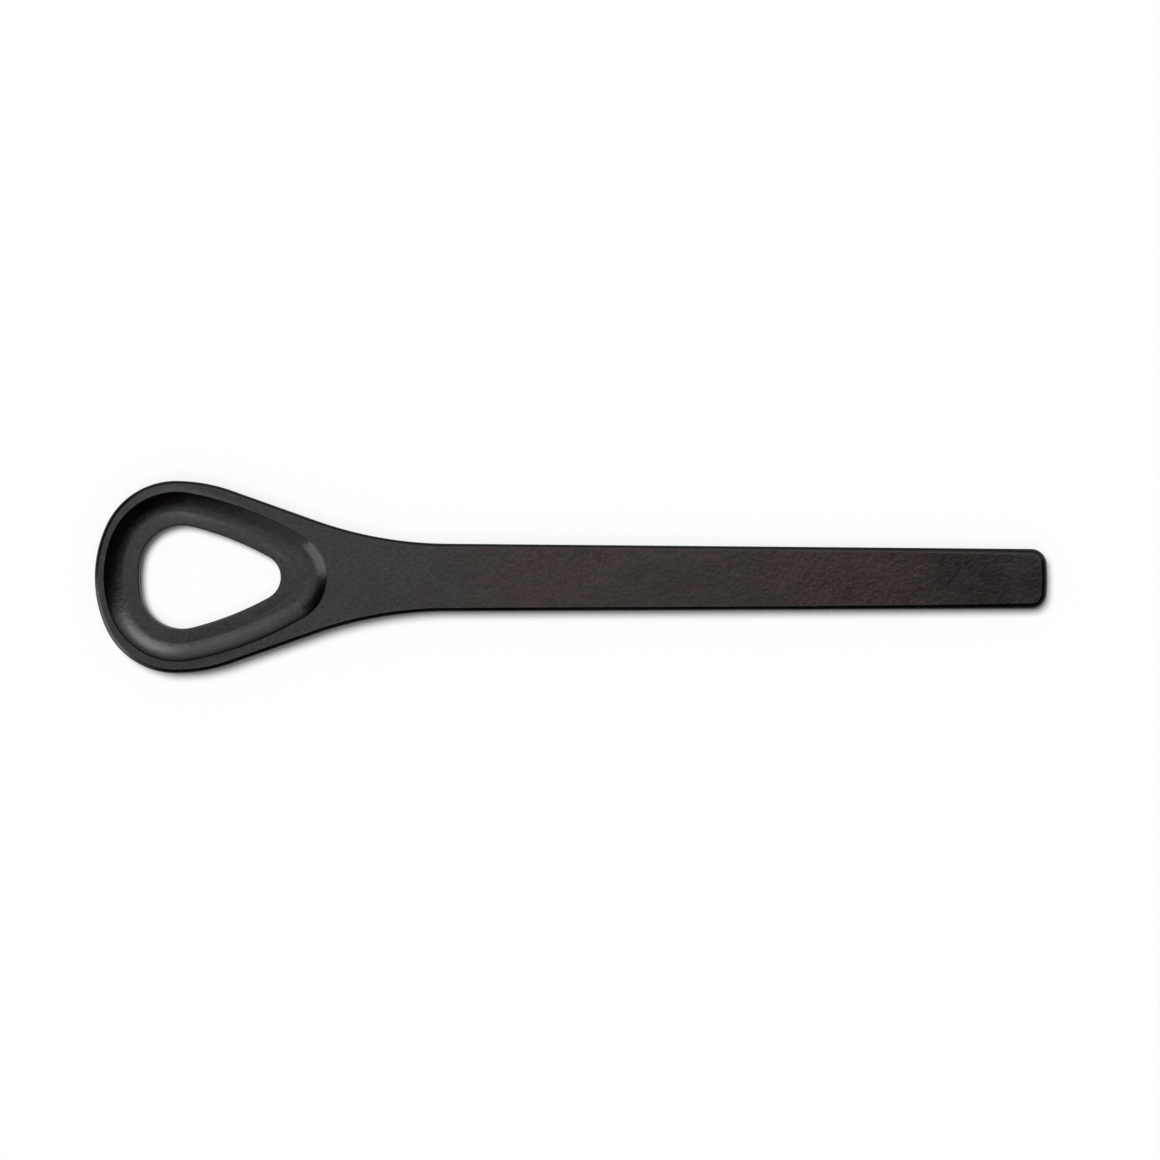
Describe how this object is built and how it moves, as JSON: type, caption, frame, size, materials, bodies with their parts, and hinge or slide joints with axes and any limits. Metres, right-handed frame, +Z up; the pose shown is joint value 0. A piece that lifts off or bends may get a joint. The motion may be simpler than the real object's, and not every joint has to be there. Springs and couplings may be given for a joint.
{
  "type": "muddler",
  "caption": "Flat black muddler and stirring tool with a dished teardrop head, open in the middle, and a long tapering handle.",
  "frame": {"origin": "middle of the tool's outline, on the surface that it lies on", "axes": "+X along the handle towards its far end, with the head at -X; +Y across the tool; +Z up, out of the dished face"},
  "size_m": [0.3, 0.0606, 0.0065],
  "materials": {
    "moulded_body": "satin moulded nylon, near black, with a faint mould grain and handling marks"
  },
  "bodies": {
    "root": {"head": "moulded_body", "handle": "moulded_body"}
  },
  "joints": []
}
